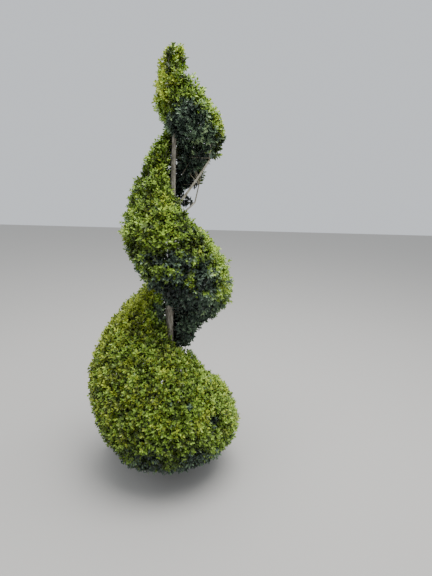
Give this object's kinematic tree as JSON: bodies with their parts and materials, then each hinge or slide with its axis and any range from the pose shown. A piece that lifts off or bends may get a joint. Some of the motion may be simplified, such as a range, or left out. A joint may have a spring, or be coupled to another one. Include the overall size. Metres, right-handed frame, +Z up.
{
  "type": "boxwood spiral topiary",
  "caption": "Evergreen garden shrub clipped to a spiral: a slim trunk, bare boughs in the open groove and a dense band of small leaves that winds down to a broad base.",
  "frame": {"origin": "the middle of the flat cut under the trunk, at ground level", "axes": "+Z up along the trunk, +X to the right seen from the front, +Y away from the front"},
  "size_m": [0.6491, 0.6515, 1.739],
  "materials": {
    "bark": "matt grey-beige bark, finely ridged",
    "foliage": "small leathery leaves, satin"
  },
  "bodies": {
    "root": {"trunk": "bark", "right_front_bough": "bark", "right_back_bough": "bark", "top_foliage": "foliage", "upper_right_foliage": "foliage", "upper_back_foliage": "foliage", "middle_left_foliage": "foliage", "middle_right_foliage": "foliage", "middle_back_foliage": "foliage", "lower_left_foliage": "foliage", "lower_front_foliage": "foliage", "lower_right_foliage": "foliage", "lower_back_foliage": "foliage"}
  },
  "joints": []
}
